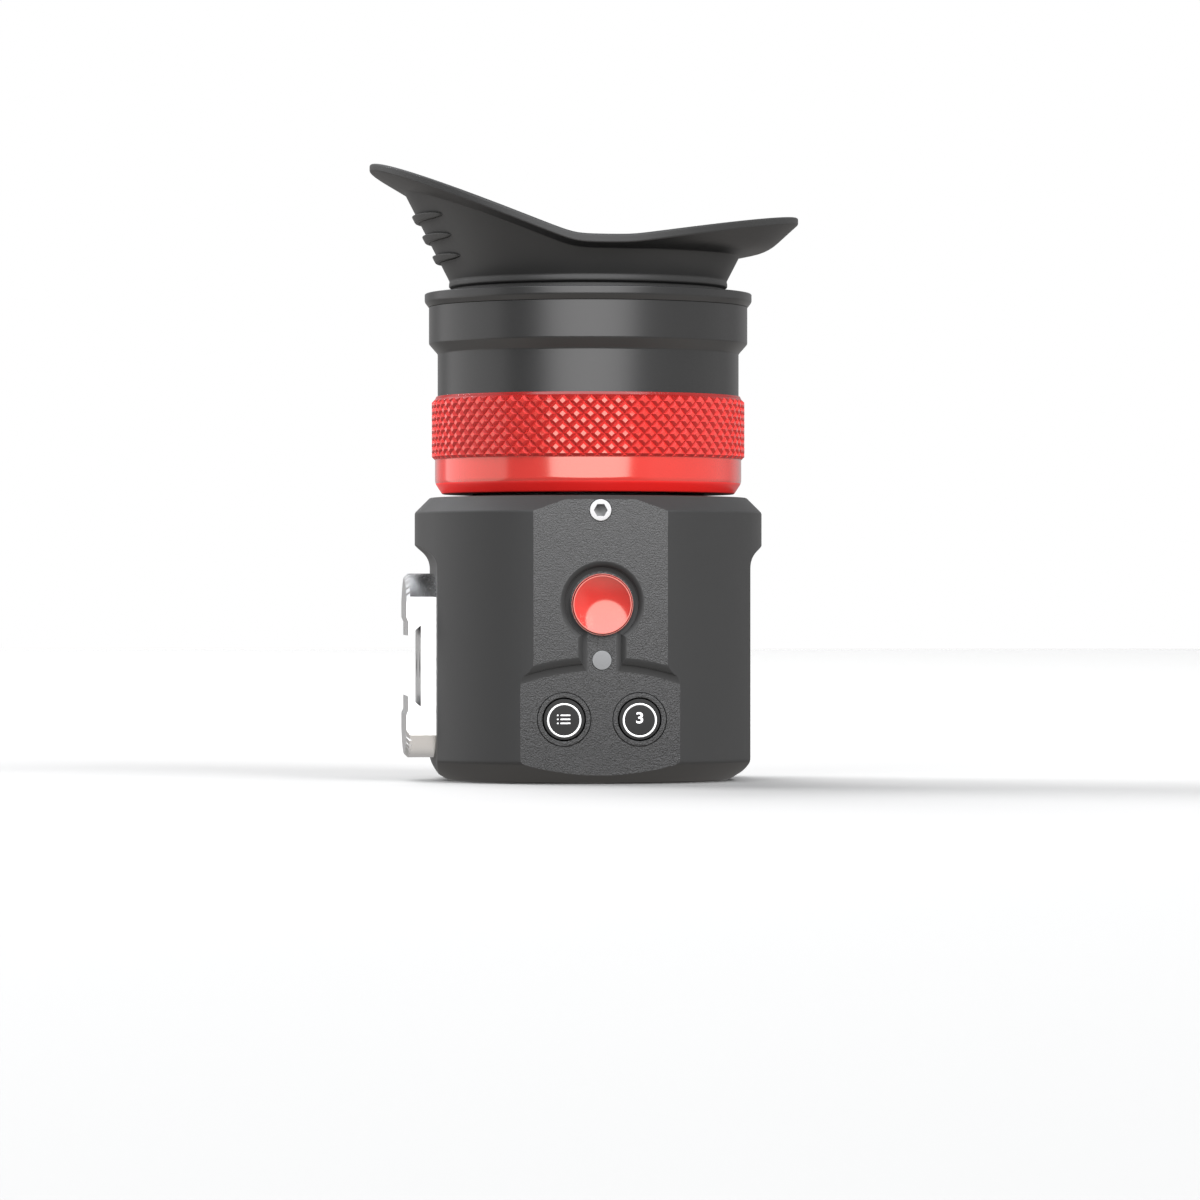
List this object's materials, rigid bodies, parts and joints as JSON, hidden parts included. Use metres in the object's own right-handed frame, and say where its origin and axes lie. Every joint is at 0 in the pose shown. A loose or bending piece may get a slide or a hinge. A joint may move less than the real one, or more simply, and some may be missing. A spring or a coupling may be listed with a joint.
{
  "type": "electronic viewfinder",
  "caption": "Electronic viewfinder with oval rubber eyecup, red knurled diopter ring, small joystick, buttons and dovetail bracket.",
  "frame": {"origin": "on the optical axis, in the plane of the base", "axes": "+Z along the optical axis from the base to the eye, -Y out of the control face, -X out of the dovetail bracket"},
  "size_m": [0.0903, 0.0717, 0.1291],
  "materials": {
    "body_black": "satin black, fine grain",
    "bezel_black": "satin black anodised",
    "barrel_black": "satin black anodised",
    "silver_plate": "satin nickel",
    "ring_red": "gloss red anodised",
    "joystick_red": "satin red anodised",
    "screw_steel": "bright",
    "button_black": "matte",
    "print_white": "printed ink",
    "status_grey": "frosted",
    "cup_rubber": "matte",
    "inner_plastic": "matte",
    "circuit_board": "solder mask",
    "flex_film": "polyimide film",
    "lens_glass": "coated",
    "display_black": "glossy"
  },
  "bodies": {
    "body": {"housing": "body_black", "base_cover": "bezel_black", "base_screw_1": "screw_steel", "base_screw_2": "screw_steel", "base_screw_3": "screw_steel", "base_screw_4": "screw_steel", "dovetail_bracket": "silver_plate", "bracket_screw_1": "screw_steel", "bracket_screw_2": "screw_steel", "guide_sleeve": "barrel_black", "guide_key_1": "screw_steel", "guide_key_2": "screw_steel", "sleeve_lock_screw": "screw_steel", "thrust_washer": "inner_plastic", "ring_retainer": "screw_steel", "menu_button_bezel": "bezel_black", "menu_switch": "inner_plastic", "function_button_bezel": "bezel_black", "function_switch": "inner_plastic", "joystick_base": "inner_plastic", "joystick_switch": "inner_plastic", "status_window": "status_grey", "control_board": "circuit_board", "board_screw_1": "screw_steel", "board_screw_2": "screw_steel", "display_carrier": "inner_plastic", "carrier_screw_1": "screw_steel", "carrier_screw_2": "screw_steel", "display_panel": "display_black", "display_window": "lens_glass", "driver_board": "circuit_board", "display_flex": "flex_film", "control_flex": "flex_film", "signal_flex": "flex_film", "signal_socket": "screw_steel", "socket_nut": "screw_steel", "contact_insert": "inner_plastic"},
    "diopter_ring": {"diopter_ring": "ring_red", "drive_pin_1": "screw_steel", "drive_pin_2": "screw_steel"},
    "eyepiece": {"eyepiece_barrel": "barrel_black", "field_lens": "lens_glass", "lens_spacer": "barrel_black", "eye_lens": "lens_glass", "lens_retainer": "barrel_black", "swivel_clip": "screw_steel"},
    "eyecup": {"eyecup_ring": "barrel_black", "eyecup": "cup_rubber"},
    "menu_button": {"menu_button_cap": "button_black"},
    "function_button": {"function_button_cap": "button_black"},
    "joystick_gimbal": {"joystick_gimbal_ring": "screw_steel"},
    "joystick_yoke": {"joystick_yoke": "inner_plastic"},
    "joystick_cap": {"joystick_cap": "joystick_red"}
  },
  "joints": [
    {"name": "diopter_turn", "type": "hinge", "parent": "body", "child": "diopter_ring", "pos_m": [0, 0, 0.07], "axis": [0, 0, 1], "range_deg": [-80, 80]},
    {"name": "eyepiece_slide", "type": "slide", "parent": "body", "child": "eyepiece", "axis": [0, 0, 1], "range_m": [-0.002, 0.002]},
    {"name": "eyecup_swivel", "type": "hinge", "parent": "eyepiece", "child": "eyecup", "pos_m": [0, 0, 0.1], "axis": [0, 0, 1], "continuous": true},
    {"name": "menu_press", "type": "slide", "parent": "body", "child": "menu_button", "axis": [0, 1, 0], "range_m": [0, 0.0006], "stiffness_N_per_m": 1200, "springref_m": -0.0006},
    {"name": "function_press", "type": "slide", "parent": "body", "child": "function_button", "axis": [0, 1, 0], "range_m": [0, 0.0006], "stiffness_N_per_m": 1200, "springref_m": -0.0006},
    {"name": "joystick_tilt_x", "type": "hinge", "parent": "body", "child": "joystick_gimbal", "pos_m": [0.00035, -0.0264, 0.0368], "axis": [1, 0, 0], "range_deg": [-3, 3], "stiffness_Nm_per_rad": 0.06},
    {"name": "joystick_tilt_z", "type": "hinge", "parent": "joystick_gimbal", "child": "joystick_yoke", "pos_m": [0.00035, -0.0264, 0.0368], "axis": [0, 0, 1], "range_deg": [-3, 3], "stiffness_Nm_per_rad": 0.06},
    {"name": "joystick_press", "type": "slide", "parent": "joystick_yoke", "child": "joystick_cap", "axis": [0, 1, 0], "range_m": [0, 0.0003], "stiffness_N_per_m": 1500, "springref_m": -0.0006}
  ],
  "couplings": [
    {"joint": "diopter_turn", "follows": "eyepiece_slide", "rad_per_m": 698.1}
  ]
}
